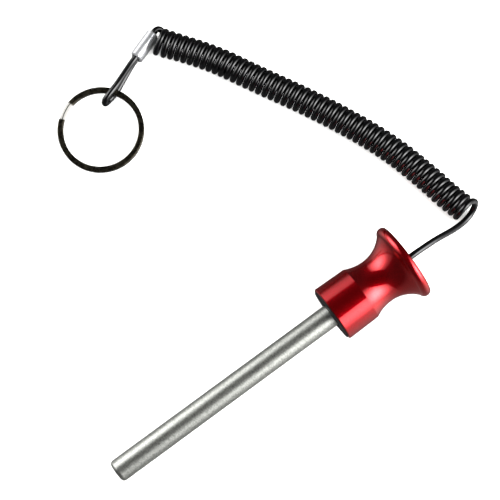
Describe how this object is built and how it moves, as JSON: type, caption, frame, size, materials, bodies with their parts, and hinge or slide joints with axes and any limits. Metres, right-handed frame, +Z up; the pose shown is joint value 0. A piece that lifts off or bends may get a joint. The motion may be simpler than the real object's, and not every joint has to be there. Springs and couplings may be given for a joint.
{
  "type": "weight stack pin",
  "caption": "Selector pin with a red trumpet-shaped head, a ring magnet in its lower face and a coiled cord that ends in a crimped loop with a split ring.",
  "frame": {"origin": "bottom centre of the box round the pin, its head and its magnet, on the surface that the part lies on", "axes": "+Z up from the surface, +X along the pin towards its head, and the coiled cord lies on the +Y side"},
  "size_m": [0.1817, 0.1603, 0.0329],
  "materials": {
    "pin_steel": "satin",
    "head_red": "bright red anodised",
    "magnet_black": "satin black",
    "stop_metal": "plain",
    "cord_black": "gloss",
    "sleeve_metal": "satin",
    "ring_steel": "dark polished"
  },
  "bodies": {
    "pin": {"pin_shaft": "pin_steel", "trumpet_head": "head_red", "ring_magnet": "magnet_black", "cord_stop": "stop_metal", "cord_lead": "cord_black", "cord_coil": "cord_black", "cord_tail": "cord_black", "cord_loop": "cord_black", "crimp_sleeve": "sleeve_metal"},
    "ring": {"split_ring": "ring_steel"}
  },
  "joints": [
    {"name": "ring_swing", "type": "hinge", "parent": "pin", "child": "ring", "pos_m": [0.0178, 0.13042, 0.00438], "axis": [-0.5976, 0.8018, 0], "range_deg": [0, 150]}
  ]
}
